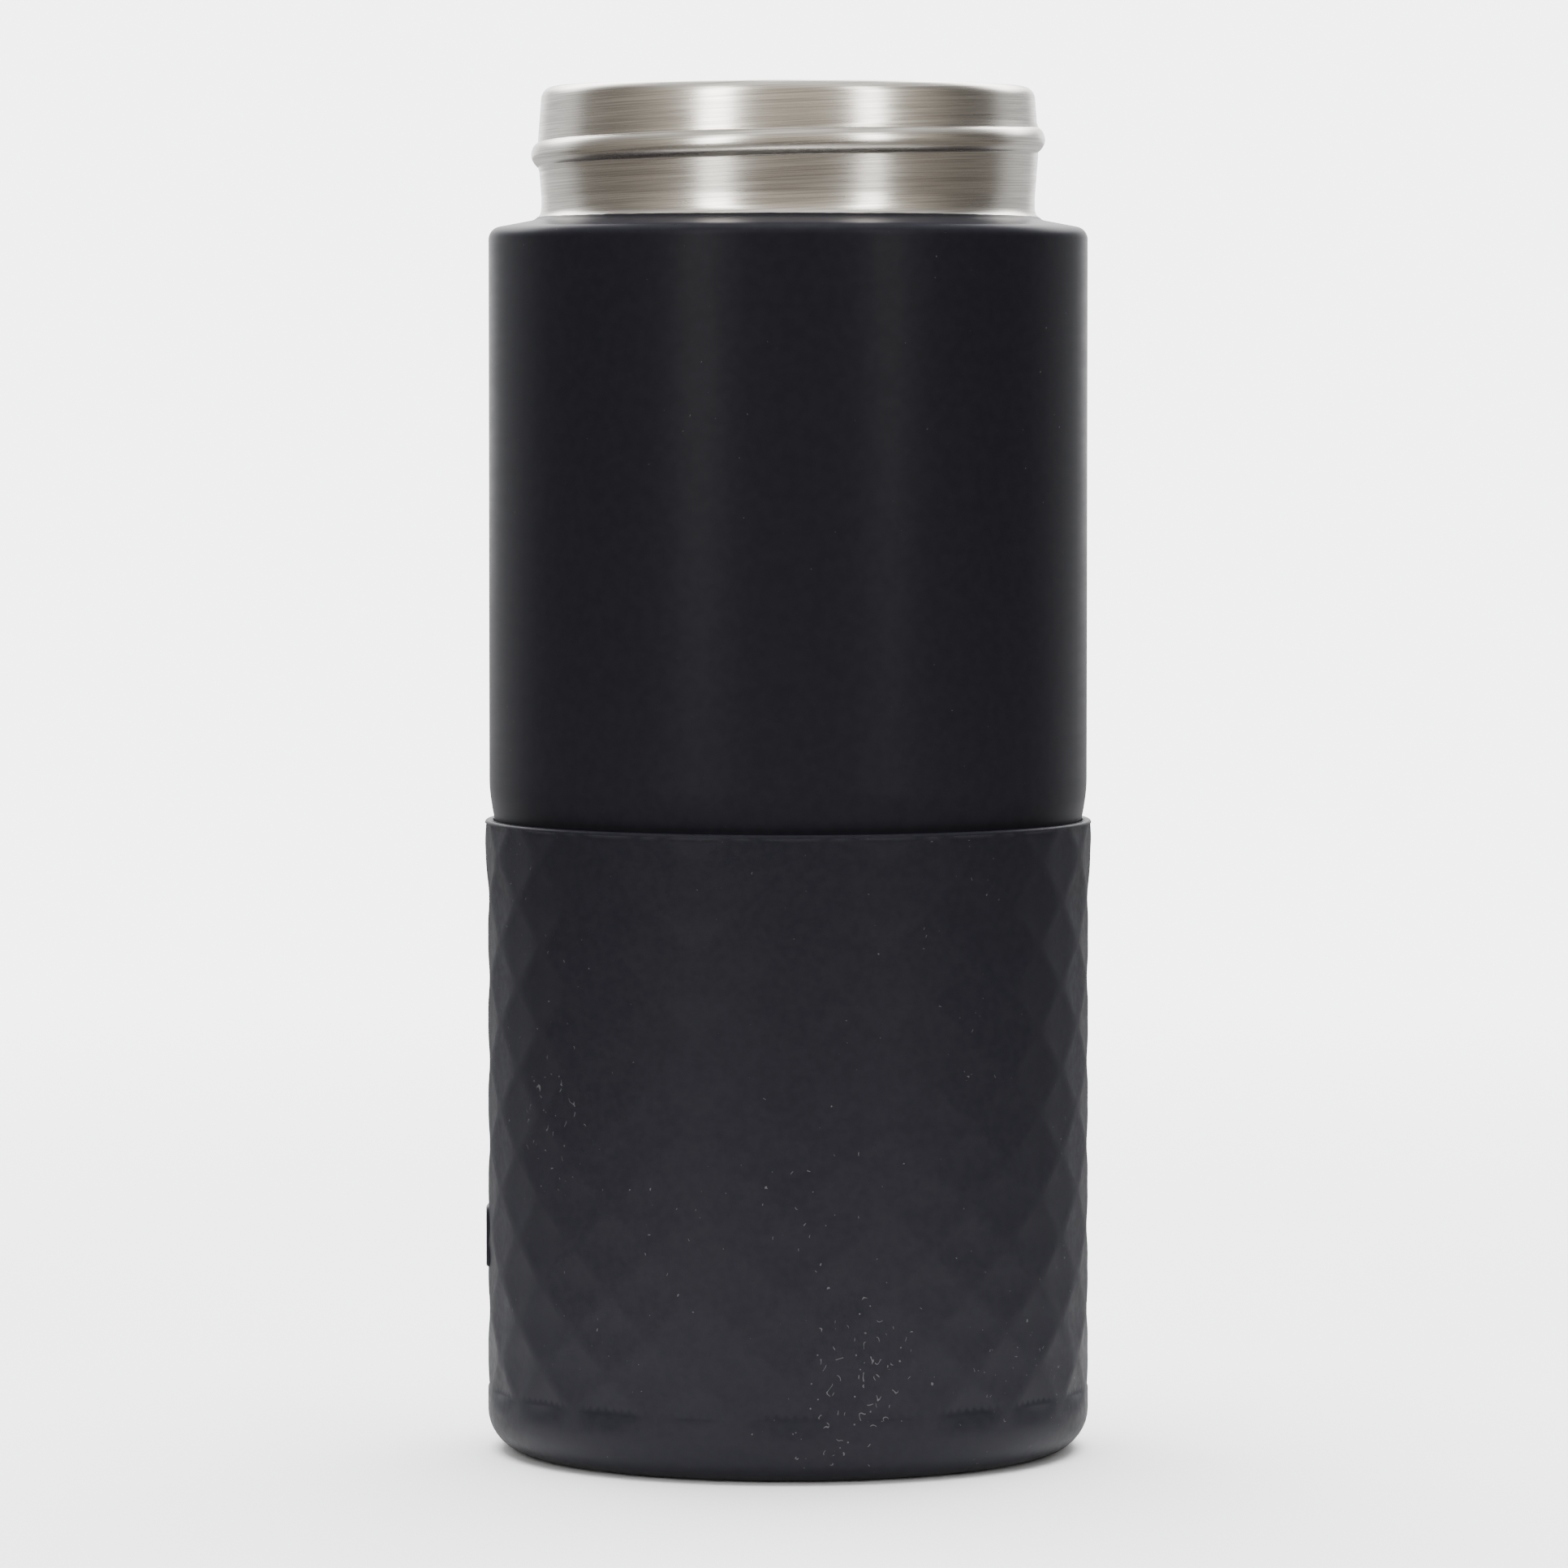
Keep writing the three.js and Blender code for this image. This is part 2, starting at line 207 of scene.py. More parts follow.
# ---- Where a noise's values mostly lie ----
NOISE_SPAN = (0.3, 0.7)

# ---- Brushed steel ----
BRUSH_SLANT = math.radians(2.5)
BRUSH_RUN = 60.0  # a low number makes lines long round the neck
BRUSH_LINES = 6500.0
BRUSH_STREAKS = 1500.0
BRUSH_BREAKUP = 0.6
BARE_STEEL = {"colour": (0.60, 0.57, 0.52), "roughness": 0.28, "depth": 0.000004}
PLAIN_STEEL = {"colour": (0.45, 0.44, 0.43), "roughness": 0.38, "depth": 0.00001}
STEEL_LINE_TONES = (0.76, 1.18)
STEEL_STREAK_ROUGHNESS = 0.03
STEEL_LINE_BUMP = 0.3
STEEL_ANISOTROPY = 0.6
STEEL_ANISOTROPY_TURN = 0.25
PIT_SCALE = 500.0
PIT_SIZE = 0.07
PIT_PATCHES = 70.0
PIT_RARITY = 0.7
PIT_COLOUR = (0.02, 0.018, 0.016, 1)

# ---- Black coat ----
COAT_TONES = ((0.0071, 0.0071, 0.0095, 1), (0.0083, 0.0081, 0.0107, 1))
COAT_SPECK = (0.05, 0.05, 0.055, 1)
COAT_SPECK_AMOUNT = 0.5
COAT_GRAIN = 0.8
COAT_LINE_FINENESS = 0.35
COAT_LINE_RUN = 1.5
COAT_LINE_SHARE = 0.7
COAT_ROUGHNESS = 0.33
COAT_STREAK_ROUGHNESS = 0.012
COAT_BUMP = 0.25
COAT_BUMP_DEPTH = 0.000005
COAT_IOR = 1.12

# ---- Silicone ----
SILICONE_TONES = ((0.0069, 0.0070, 0.0096, 1), (0.0081, 0.0080, 0.0108, 1))
SILICONE_LINT = (0.042, 0.042, 0.043, 1)
SILICONE_ROUGHNESS = 0.46
SILICONE_TONE_ROUGHNESS = 0.03
SILICONE_BUMP = 0.4
SILICONE_BUMP_DEPTH = 0.00002
SILICONE_IOR = 1.14

# ---- Grain of the moulded and sprayed skins ----
GRAIN_FINE = 9000.0
GRAIN_BROAD = 900.0

# ---- Lint: angle in degrees, level and reach of the places where it gathers ----
LINT_PLACES = ((13.0, 11.5, 11.0), (-50.0, 43.5, 9.5))
LINT_SQUASH = 0.72  # under 1 makes the places taller than wide
LINT_GATHERED = 1.7
LINT_PATCH_SCALE = 45.0
LINT_PATCH_SPAN = (0.35, 0.7)
LINT_PATCH_AMOUNTS = (0.3, 1.1)
SPECK_SCALE = 650.0
SPECK_GROWTH = 0.045
SPECK_MOST = 0.07
CURL_SCALE = 1000.0
CURL_SQUASH = (1, 1, 0.8)
CURL_TURN = (0.4, 0.2, 0)
CURL_WIDTH = 0.022
FIBRE_CELLS = 620.0
FIBRE_GROWTH = 0.15

# ---- Pieces inside: copper foil, sintered pellet and solder glass ----
COPPER = (0.72, 0.38, 0.24, 1)
FOIL_CREASE_SHADE = 0.8
FOIL_CREASES = 90.0
FOIL_ROUGHNESS = 0.25
PELLET_TONES = ((0.05, 0.045, 0.04, 1), (0.16, 0.15, 0.13, 1))
PELLET_GRAINS = 2500.0
PELLET_ROUGHNESS = 0.9
GLASS_TONES = ((0.05, 0.04, 0.03, 1), (0.11, 0.09, 0.07, 1))
GLASS_CLOUDS = 700.0
GLASS_ROUGHNESS = 0.12

# ---- Camera ----
EYE_HEIGHT = 0.132
EYE_DISTANCE = 1.0
EYE_SHIFT = -0.0005
TILT = math.radians(2.89)
LENS = 187.7
SENSOR_WIDTH = 36
FARTHEST_SEEN = 100

# ---- Table: distances from the tumbler, and colours ----
TABLE_RADIUS = 6
TABLE_SEEN_FADE = (0.22, 0.75)  # to the camera the table fades into the room between these
TABLE_BOUNCE_FADE = (0.07, 0.2)  # in reflections it does so between these
TABLE_TONES = ((0.49, 0.494, 0.50, 1), (0.51, 0.514, 0.52, 1))
TABLE_MOTTLE = 9.0
TABLE_ROUGHNESS = 0.9
# In reflections only, the table near the foot is painted. In front it is bright, painted light
# where the tumbler's own shadow lies. At the sides it is dark, painted shade.
TABLE_NEAR_FRONT_PAINTED_LIGHT = (0.95, 0.95, 0.95, 1)
TABLE_NEAR_SIDES_PAINTED_SHADE = (0.3, 0.3, 0.3, 1)
# In reflections the table farther off glows, though it is no lamp. It is dim and warm in front, a
# painted shadow of the tumbler and the dark room, and bright behind, painted light.
TABLE_FAR_FRONT_PAINTED_SHADOW_GLOW = (0.24, 0.22, 0.2, 1)
TABLE_FAR_BACK_PAINTED_LIGHT_GLOW = (0.9, 0.9, 0.91, 1)
TABLE_FRONT_TO_SIDES = (-0.7, 0.1)  # share of the way from the tumbler that runs backwards
TABLE_SIDES_TO_BACK = (0.35, 0.65)

# ---- Room: colours, and where they change, as shares of the direction's X, Y or Z ----
ROOM_SEEN = (5.2, 5.25, 5.3, 1)
ROOM_BEHIND_LEFT = (1.05, 1.06, 1.08, 1)
ROOM_BEHIND_RIGHT = (0.78, 0.79, 0.8, 1)
ROOM_FRONT = (0.75, 0.685, 0.595, 1)
ROOM_FAR_BEHIND = (3.2, 3.2, 3.25, 1)
ROOM_HIGH_BEHIND = (10.5, 10.5, 10.5, 1)
ROOM_LEFT = (0.34, 0.32, 0.295, 1)
ROOM_RIGHT = (0.2, 0.19, 0.18, 1)
ROOM_ABOVE = (1.3, 1.3, 1.3, 1)
LEFT_TO_RIGHT = (-0.3, 0.5)
SIDES_TO_FRONT = (0.05, -0.75)
SIDES_TO_BEHIND = (0.30, 0.50)
BEHIND_TO_FAR_BEHIND = (0.85, 1.0)
LEVEL_TO_ABOVE = (0.55, 0.95)
LEVEL_TO_HIGH = (0.2, 0.5)
SIDES_TO_HIGH_BEHIND = (0.45, 0.7)
BLACK = (0, 0, 0, 1)


# ---------------------------------------------------------------- outlines

def direction(start, end):
    return (Vector(end[:2]) - Vector(start[:2])).normalized()


def rounded(corners):
    """The points of a line of corners (radius, height, rounding), with arcs at rounded corners."""
    points = []
    for i, corner in enumerate(corners):
        place = Vector(corner[:2])
        size = corner[2] if len(corner) > 2 else 0
        if not size:
            points.append(place)
            continue
        arriving = direction(corners[i - 1], corner)
        leaving = direction(corner, corners[i + 1])
        turn = math.atan2(
            arriving.x * leaving.y - arriving.y * leaving.x, arriving.dot(leaving)
        )
        start = place - arriving * size * math.tan(abs(turn) / 2)
        centre = start + Vector((-arriving.y, arriving.x)) * math.copysign(size, turn)
        steps = max(2, math.ceil(abs(turn) / ARC_STEP))
        for k in range(steps + 1):
            spoke = Matrix.Rotation(turn * k / steps, 2) @ (start - centre)
            points.append(centre + spoke)
    return points


def offset(corners, distance):
    """The same corners moved to the left of their travel, with each rounding kept concentric."""
    moved = []
    for i, corner in enumerate(corners):
        r, z = corner[:2]
        size = corner[2] if len(corner) > 2 else 0
        last = i == len(corners) - 1
        arriving = direction(corners[i - 1], corner) if i else direction(corner, corners[1])
        leaving = arriving if last else direction(corner, corners[i + 1])
        share = distance / (1 + arriving.dot(leaving))
        side = math.copysign(1, arriving.x * leaving.y - arriving.y * leaving.x)
        moved.append((
            r - (arriving.y + leaving.y) * share,
            z + (arriving.x + leaving.x) * share,
            max(size - side * distance, LEAST_ROUND) if size else 0,
        ))
    return moved


def sheet_outline(corners, wall):
    return rounded(corners) + rounded(offset(corners, wall))[::-1]


def recess_radius(height):
    """The shell's radius where it steps in for the boot."""
    share = min(max((height - BLEND_BOTTOM) / RECESS_BLEND, 0), 1)
    return RECESS_RADIUS + RECESS_DEPTH * (1 - math.cos(math.pi * share)) / 2


def shell_corners():
    """The shell's outer face, from the flange under the base to the inside of the lip."""
    base = SHELL_LOW.z
    blend = [BLEND_BOTTOM + RECESS_BLEND * k / RECESS_STEPS for k in range(RECESS_STEPS + 1)]
    swell = NECK_RADIUS + NECK_SWELL
    bead = RIM - THREAD_DROP
    return [
        (RECESS_RADIUS - BASE_CORNER - FLANGE_WIDTH, base),
        (RECESS_RADIUS, base, BASE_CORNER),
        *[(recess_radius(z), z) for z in blend],
        (BODY_RADIUS, SHOULDER_TOP - SHOULDER_RISE, SHOULDER_CORNER),
        (WAIST_RADIUS, SHOULDER_TOP, NECK_FILLET),
        (WAIST_RADIUS, SHOULDER_TOP + WAIST_BOTTOM, NECK_BEND),
        (swell, bead - SWELL_REACH, NECK_BEND),
        (swell, bead + SWELL_REACH, NECK_BEND),
        (LIP_RADIUS, RIM, LIP_ROUND),
        (NECK_RADIUS - LIP_WIDTH, RIM, LIP_INNER_ROUND),
        (NECK_RADIUS - LIP_WIDTH, RIM - SHELL_WALL),
    ]


# ---------------------------------------------------------------- meshes

def at_angle(radius, angle, height):
    return Vector((radius * math.sin(angle), -radius * math.cos(angle), height))


def angle_of(point):
    return math.atan2(point.x, -point.y)


def turned(outline):
    """A closed mesh with the outline spun round the Z axis."""
    bm = bmesh.new()
    verts = [bm.verts.new((0, -p[0], p[1])) for p in outline]
    edges = [bm.edges.new(pair) for pair in zip(verts, verts[1:])]
    edges.append(bm.edges.new((verts[-1], verts[0])))
    bmesh.ops.spin(
        bm, geom=verts + edges, cent=(0, 0, 0), axis=(0, 0, 1), angle=FULL_TURN, steps=SIDES,
        use_merge=True, use_normal_flip=False, use_duplicate=False,
    )
    bmesh.ops.remove_doubles(bm, verts=bm.verts, dist=MERGE_DISTANCE)
    bmesh.ops.recalc_face_normals(bm, faces=bm.faces)
    return bm


def piece(bm, name, body, stands_for, material):
    """Turns a mesh in millimetres into a finished, smooth-shaded piece of the object."""
    bmesh.ops.scale(bm, verts=bm.verts, vec=(METRES,) * 3)
    for face in bm.faces:
        face.smooth = True
    mesh = bpy.data.meshes.new(name)
    bm.to_mesh(mesh)
    bm.free()
    made = bpy.data.objects.new(name, mesh)
    bpy.context.scene.collection.objects.link(made)
    mesh.materials.append(material)
    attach(made, body)
    for node in stands_for:
        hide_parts(node)
    return made


# ---------------------------------------------------------------- shell and coat

def bead_rise(angle, height):
    """How far the thread bead stands out of the neck at a place."""
    above_middle = height - (RIM - THREAD_DROP)
    most = 0
    for lap in (-1, 0, 1):
        turn = angle + lap * FULL_TURN
        inside = (THREAD_WRAP / 2 - abs(turn)) / THREAD_RUN_OUT
        inside = min(max(inside, 0), 1)
        scale = inside * inside * (3 - 2 * inside)
        across = (above_middle - THREAD_LEAD * turn / FULL_TURN) / (THREAD_WIDTH / 2)
        if abs(across) < 1:
            flank = THREAD_UPPER_FLANK if across > 0 else THREAD_LOWER_FLANK
            most = max(most, THREAD_HEIGHT * scale * (1 - across * across) ** flank)
    return most


def steel_shell(material):
    """The shell, with extra rows of faces up the neck for the bead to rise from."""
    corners = shell_corners()
    low, high = SHOULDER_TOP + WAIST_BOTTOM, RIM - LIP_ROUND
    outer = rounded(corners)
    outline = []
    for point, following in zip(outer, outer[1:] + outer[-1:]):
        outline.append(point)
        rows = math.ceil((following.y - point.y) / THREAD_ROW)
        if low < point.y and following.y < RIM - LIP_ROUND / 2:
            outline += [point.lerp(following, k / rows) for k in range(1, rows)]
    bm = turned(outline + rounded(offset(corners, SHELL_WALL))[::-1])
    for vert in bm.verts:
        radius = math.hypot(vert.co.x, vert.co.y)
        if low < vert.co.z < high and radius > NECK_RADIUS - SHELL_WALL / 2:
            angle = angle_of(vert.co)
            vert.co = at_angle(radius + bead_rise(angle, vert.co.z), angle, vert.co.z)
    return piece(bm, "steel_shell", "vessel", ["outer_shell"], material)


def coat_skin(material):
    """The coat over the body and shoulder, up to a slightly uneven line in the neck's fillet."""
    line = SHOULDER_TOP + PAINT_LINE
    steel = [p for p in rounded(shell_corners()) if p.y < line and p.x > WAIST_RADIUS]
    normals = []
    for i in range(len(steel)):
        before, after = steel[max(i - 1, 0)], steel[min(i + 1, len(steel) - 1)]
        along = (after - before).normalized()
        normals.append(Vector((along.y, -along.x)))
    outside = [p + n * COAT_THICKNESS for p, n in zip(steel, normals)]
    inside = [p - n * COAT_BEDDING for p, n in zip(steel, normals)]
    bm = turned(outside + inside[::-1])
    top = max(v.co.z for v in bm.verts)
    for vert in bm.verts:
        if vert.co.z > top - PAINT_EDGE:
            angle = angle_of(vert.co)
            x, y = math.sin(angle), math.cos(angle)
            wobble = noise.noise(Vector((x, y, 0)) * PAINT_WOBBLE)
            fine = noise.noise(Vector((x, y, 3)) * PAINT_FINE_WOBBLE)
            vert.co.z += PAINT_RAGGED * (wobble + fine / 2)
    return piece(bm, "black_coat", "vessel", ["outer_shell"], material)


# ---------------------------------------------------------------- liner and base

def liner_tube(material):
    shoulder = SHOULDER_TOP - LINER_SHOULDER_DROP
    corners = [
        (LINER_HIGH.x, LINER_LOW.z),
        (LINER_HIGH.x, shoulder, LINER_SHOULDER_ROUND),
        (LINER_NECK_OUTSIDE, shoulder + LINER_SHOULDER_LENGTH, LINER_SHOULDER_ROUND),
        (LINER_NECK_OUTSIDE, LINER_HIGH.z),
    ]
    bm = turned(sheet_outline(corners, LINER_WALL))
    return piece(bm, "liner_tube", "vessel", ["inner_liner"], material)


def liner_dish(material):
    corners = [
        (0, DISH_LOW.z),
        (DISH_HIGH.x, DISH_LOW.z, LINER_FLOOR_CORNER),
        (DISH_HIGH.x, DISH_HIGH.z),
    ]
    bm = turned(sheet_outline(corners, LINER_WALL))
    return piece(bm, "liner_floor", "vessel", ["liner_bottom"], material)


def base_cup(material):
    port_top = BASE_LOW.z + PORT_DEPTH
    corners = [
        (PORT_HOLE, port_top),
        (PORT_FLOOR, port_top, PORT_ROUND),
        (PORT_MOUTH, BASE_LOW.z, PORT_ROUND),
        (BASE_HIGH.x, BASE_LOW.z, BASE_ROUND),
        (BASE_HIGH.x, BASE_HIGH.z),
    ]
    bm = turned(sheet_outline(corners, SHELL_WALL))
    return piece(bm, "pressed_base", "vessel", ["outer_base"], material)


def cover_disc(material):
    corners = [
        (0, COVER_LOW.z),
        (COVER_HIGH.x, COVER_LOW.z, COVER_ROUND),
        (COVER_HIGH.x, COVER_HIGH.z, COVER_ROUND),
        (0, COVER_HIGH.z),
    ]
    bm = turned(rounded(corners))
    return piece(bm, "port_cover", "vessel", ["base_cover"], material)


# ---------------------------------------------------------------- silicone boot

def boot_radius(height):
    """The boot's radius on its ridges: flared at the lip and a little fuller at the foot."""
    share = (height - BOOT_FLARE_BOTTOM) / (BOOT_FLARE_TOP - BOOT_FLARE_BOTTOM)
    share = min(max(share, 0), 1)
    flare = BOOT_LIP_FLARE * share * share * (3 - 2 * share)
    foot = max(1 - height / BOOT_FOOT_SWELL_TOP, 0)
    return BOOT_RADIUS + flare + BOOT_FOOT_SWELL * foot


def diamond_tile(bm, angle, height):
    """One dished diamond: straight ridges on its four sides and a shallow hollow between."""
    steps = DIAMOND_STEPS
    made = bmesh.ops.create_grid(bm, x_segments=steps, y_segments=steps, size=1)
    for vert in made["verts"]:
        p, q = vert.co.x, vert.co.y
        hollow = DIAMOND_DEPTH * (1 - p * p) * (1 - q * q)
        z = height + (p + q) / 2 * DIAMOND_HEIGHT / 2
        turn = angle + (p - q) / 2 * math.pi / DIAMONDS_AROUND
        vert.co = at_angle(boot_radius(z) - hollow, turn, z)


def diamond_field(bm, low, high):
    """Every diamond between two heights, cut straight at both."""
    half = math.pi / DIAMONDS_AROUND
    rows = math.ceil(BOOT_TOP / DIAMOND_HEIGHT)
    for column in range(2 * DIAMONDS_AROUND):
        start = DIAMOND_DATUM + (DIAMOND_HEIGHT / 2 if column % 2 == 0 else 0)
        for row in range(-rows, rows):
            middle = start + row * DIAMOND_HEIGHT
            if low - DIAMOND_HEIGHT / 2 < middle < high + DIAMOND_HEIGHT / 2:
                diamond_tile(bm, DIAMOND_PHASE + column * half, middle)
    bmesh.ops.remove_doubles(bm, verts=bm.verts, dist=TILE_MERGE)
    for level, up in ((low, -1), (high, 1)):
        bmesh.ops.bisect_plane(
            bm, geom=bm.verts[:] + bm.edges[:] + bm.faces[:], dist=CUT_MERGE,
            plane_co=(0, 0, level), plane_no=(0, 0, up), clear_outer=True,
        )


def rim_edges(bm, level):
    """The open edges at a height."""
    return [
        edge for edge in bm.edges
        if edge.is_boundary and all(abs(v.co.z - level) < RIM_TOLERANCE for v in edge.verts)
    ]


def follow(bm, edges, outline):
    """Carries an open rim along an outline, and closes it where that ends on the axis."""
    for radius, height in outline:
        grown = bmesh.ops.extrude_edge_only(bm, edges=edges)["geom"]
        verts = [g for g in grown if isinstance(g, bmesh.types.BMVert)]
        edges = [g for g in grown if isinstance(g, bmesh.types.BMEdge)]
        for vert in verts:
            vert.co = at_angle(max(radius, AXIS_RADIUS), angle_of(vert.co), height)
        if radius == 0:
            bmesh.ops.pointmerge(bm, verts=verts, merge_co=(0, 0, height))


def boot_foot(band_radius):
    """From the edge of the pattern down the band, round the corner and across the underside."""
    corners = [
        (band_radius, BOOT_BAND - BOOT_BAND_STEP),
        (boot_radius(BOOT_CORNER), BOOT_BAND_BOTTOM),
        (boot_radius(BOOT_CORNER), 0, BOOT_CORNER),
        (FOOT_RECESS_RADIUS, 0, FOOT_RECESS_ROUND),
        (FOOT_RECESS_RADIUS - FOOT_RECESS, FOOT_RECESS, FOOT_RECESS_ROUND),
        (0, FOOT_RECESS),
    ]
    return rounded(corners)


def boot_lip():
    """From the edge of the pattern over the lip, down the bore and across the floor inside."""
    top = BOOT_TOP
    outside = BOOT_RADIUS + BOOT_LIP_FLARE
    drop = top - BLEND_BOTTOM
    levels = [top - drop * k / BOOT_BORE_STEPS for k in range(1, BOOT_BORE_STEPS + 1)]
    floor_edge = RECESS_RADIUS + BOOT_GAP
    corners = [
        (outside, top - BOOT_LIP_ROUND - BOOT_LIP_BAND / 2),
        (outside, top, BOOT_LIP_ROUND),
        (recess_radius(top) + BOOT_GAP, top, BOOT_BORE_ROUND),
        *[(recess_radius(z) + BOOT_GAP, z) for z in levels],
        (floor_edge, BOOT_FLOOR, BASE_CORNER),
        (0, BOOT_FLOOR),
    ]
    return rounded(corners)


def boot(material):
    """The patterned wall, with its foot and its lip grown from the wall's two open rims."""
    bm = bmesh.new()
    diamond_field(bm, BOOT_BAND, PATTERN_TOP)
    foot, lip = rim_edges(bm, BOOT_BAND), rim_edges(bm, PATTERN_TOP)
    follow(bm, foot, boot_foot(boot_radius(BOOT_BAND)))
    follow(bm, lip, boot_lip())
    bmesh.ops.remove_doubles(bm, verts=bm.verts, dist=MERGE_DISTANCE)
    bmesh.ops.recalc_face_normals(bm, faces=bm.faces)
    return piece(bm, "boot", "boot", ["silicone_boot"], material)


def name_pad(material):
    """The blank pad: a rounded plate, sliced so that it can bend, thickened and rounded over."""
    bm = bmesh.new()
    bmesh.ops.create_grid(bm, x_segments=1, y_segments=1, size=0.5)
    bmesh.ops.scale(bm, verts=bm.verts, vec=(PAD_LENGTH, PAD_HEIGHT, 1))
    bmesh.ops.bevel(
        bm, geom=bm.verts[:], offset=PAD_ROUND, offset_type="OFFSET", affect="VERTICES",
        segments=PAD_ROUND_STEPS, profile=0.5, material=-1,
    )
    depth = PAD_PROUD + PAD_BEDDING
    grown = bmesh.ops.extrude_face_region(bm, geom=bm.faces[:])["geom"]
    raised = [g for g in grown if isinstance(g, bmesh.types.BMVert)]
    bmesh.ops.translate(bm, verts=raised, vec=(0, 0, depth))
    top = [e for e in bm.edges if all(v.co.z > depth / 2 for v in e.verts)]
    bmesh.ops.bevel(
        bm, geom=top, offset=PAD_EDGE_ROUND, offset_type="OFFSET", affect="EDGES",
        segments=PAD_EDGE_STEPS, profile=0.5, material=-1,
    )
    for k in range(1, PAD_SLICES):
        bmesh.ops.bisect_plane(
            bm, geom=bm.verts[:] + bm.edges[:] + bm.faces[:], dist=MERGE_DISTANCE,
            plane_co=(PAD_LENGTH * (k / PAD_SLICES - 0.5), 0, 0), plane_no=(1, 0, 0),
        )
    foot = BOOT_RADIUS - PAD_BEDDING
    for vert in bm.verts:
        x, y, z = vert.co
        vert.co = at_angle(foot + z, PAD_ANGLE + x / BOOT_RADIUS, PAD_LEVEL + y)
    bmesh.ops.recalc_face_normals(bm, faces=bm.faces)
    return piece(bm, "name_pad", "boot", ["silicone_boot"], material)


# ---------------------------------------------------------------- materials

class Tree:
    """A node tree with short calls for adding nodes and linking them."""

    def __init__(self, tree):
        self.tree = tree

    def add(self, kind, values=None, **settings):
        made = self.tree.nodes.new(kind)
        for key, value in settings.items():
            setattr(made, key, value)
        for key, value in (values or {}).items():
            if isinstance(value, bpy.types.NodeSocket):
                self.tree.links.new(value, made.inputs[key])
            else:
                made.inputs[key].default_value = value
        return made

    def link(self, source, target):
        self.tree.links.new(source, target)

    def math(self, operation, a, b=0.0):
        return self.add("ShaderNodeMath", {0: a, 1: b}, operation=operation).outputs[0]

    def vector_math(self, operation, a, b=(0, 0, 0)):
        return self.add("ShaderNodeVectorMath", {0: a, 1: b}, operation=operation).outputs

    def stretched(self, vector, scale, turn=(0, 0, 0)):
        values = {"Vector": vector, "Scale": scale, "Rotation": turn}
        return self.add("ShaderNodeMapping", values).outputs[0]

    def noise(self, vector, scale, detail=2.0, roughness=0.5):
        values = {"Vector": vector, "Scale": scale, "Detail": detail, "Roughness": roughness}
        return self.add("ShaderNodeTexNoise", values).outputs[0]

    def spots(self, vector, scale):
        """The distance to the nearest of many scattered points."""
        values = {"Vector": vector, "Scale": scale}
        return self.add("ShaderNodeTexVoronoi", values).outputs["Distance"]

    def ramp(self, value, low, high, start=0.0, end=1.0):
        """A smooth step from start to end as the value goes from low to high."""
        values = {0: value, 1: low, 2: high, 3: start, 4: end}
        made = self.add("ShaderNodeMapRange", values, interpolation_type="SMOOTHSTEP")
        return made.outputs[0]

    def mix(self, share, a, b):
        return self.add("ShaderNodeMix", {0: share, 6: a, 7: b}, data_type="RGBA").outputs[2]


def effect(name, inputs, outputs):
    """An empty node group with named number inputs, a Vector input and named outputs."""
    group = bpy.data.node_groups.new(name, "ShaderNodeTree")
    new_socket = group.interface.new_socket
    new_socket("Vector", in_out="INPUT", socket_type="NodeSocketVector")
    for socket, default in inputs.items():
        made = new_socket(socket, in_out="INPUT", socket_type="NodeSocketFloat")
        made.default_value = default
    for socket in outputs:
        new_socket(socket, in_out="OUTPUT", socket_type="NodeSocketFloat")
    tree = Tree(group)
    return group, tree, tree.add("NodeGroupInput").outputs, tree.add("NodeGroupOutput")


def brushing_group():
    """Brush lines round the Z axis, slightly slanted, with broader streaks."""
    group, tree, inputs, out = effect(
        "brush_lines", {"Fineness": 1.0, "Run": 1.0}, ["Lines", "Streaks"]
    )
    slanted = tree.stretched(inputs["Vector"], (1, 1, 1), (0, BRUSH_SLANT, 0))
    run = tree.math("MULTIPLY", inputs["Run"], BRUSH_RUN)
    for label, fineness in (("Lines", BRUSH_LINES), ("Streaks", BRUSH_STREAKS)):
        rise = tree.math("MULTIPLY", inputs["Fineness"], fineness)
        scale = tree.add("ShaderNodeCombineXYZ", {"X": run, "Y": run, "Z": rise}).outputs[0]
        spread = tree.vector_math("MULTIPLY", slanted, scale)[0]
        tree.link(tree.noise(spread, 1.0, roughness=BRUSH_BREAKUP), out.inputs[label])
    return group


